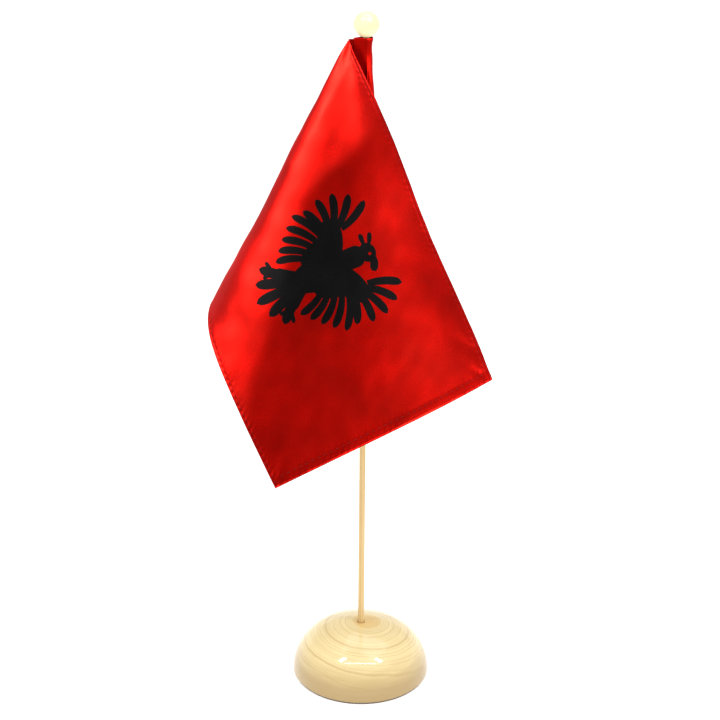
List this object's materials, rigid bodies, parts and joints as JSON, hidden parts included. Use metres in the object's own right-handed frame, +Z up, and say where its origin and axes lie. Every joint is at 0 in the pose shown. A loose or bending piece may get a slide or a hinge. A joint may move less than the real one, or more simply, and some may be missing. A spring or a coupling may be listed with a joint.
{
  "type": "desk flag stand",
  "caption": "Small desk flag stand: turned wooden dome base, thin pole with a ball finial, and a satin flag that hangs from its sleeve and folds round in front of the pole.",
  "frame": {"origin": "centre of the flat underside of the pad, on the pole's axis", "axes": "+Z up along the pole, -Y towards the side that the flag shows its printed face, -X towards the flag's fold"},
  "size_m": [0.1133, 0.1048, 0.2989],
  "materials": {
    "lacquered_wood": "turned pale hardwood under glossy clear lacquer",
    "pad": "thin dark felt",
    "pole_wood": "plain sanded dowel",
    "ball_wood": "cream wood under glossy lacquer",
    "satin": "red polyester satin with a black print",
    "thread": "red polyester sewing thread"
  },
  "bodies": {
    "base": {"base": "lacquered_wood", "base_pad": "pad"},
    "pole": {"pole": "pole_wood", "finial_ball": "ball_wood"},
    "flag": {"flag_panel": "satin", "hoist_sleeve": "satin", "top_hem": "satin", "fly_hem": "satin", "bottom_hem": "satin", "sleeve_stitching": "thread", "top_stitching": "thread", "fly_stitching": "thread", "bottom_stitching": "thread"}
  },
  "joints": [
    {"name": "pole_pull", "type": "slide", "parent": "base", "child": "pole", "axis": [0, 0, 1], "range_m": [0, 0.022]},
    {"name": "flag_turn", "type": "hinge", "parent": "pole", "child": "flag", "pos_m": [0, 0, 0.236], "axis": [0, 0, 1], "continuous": true}
  ]
}
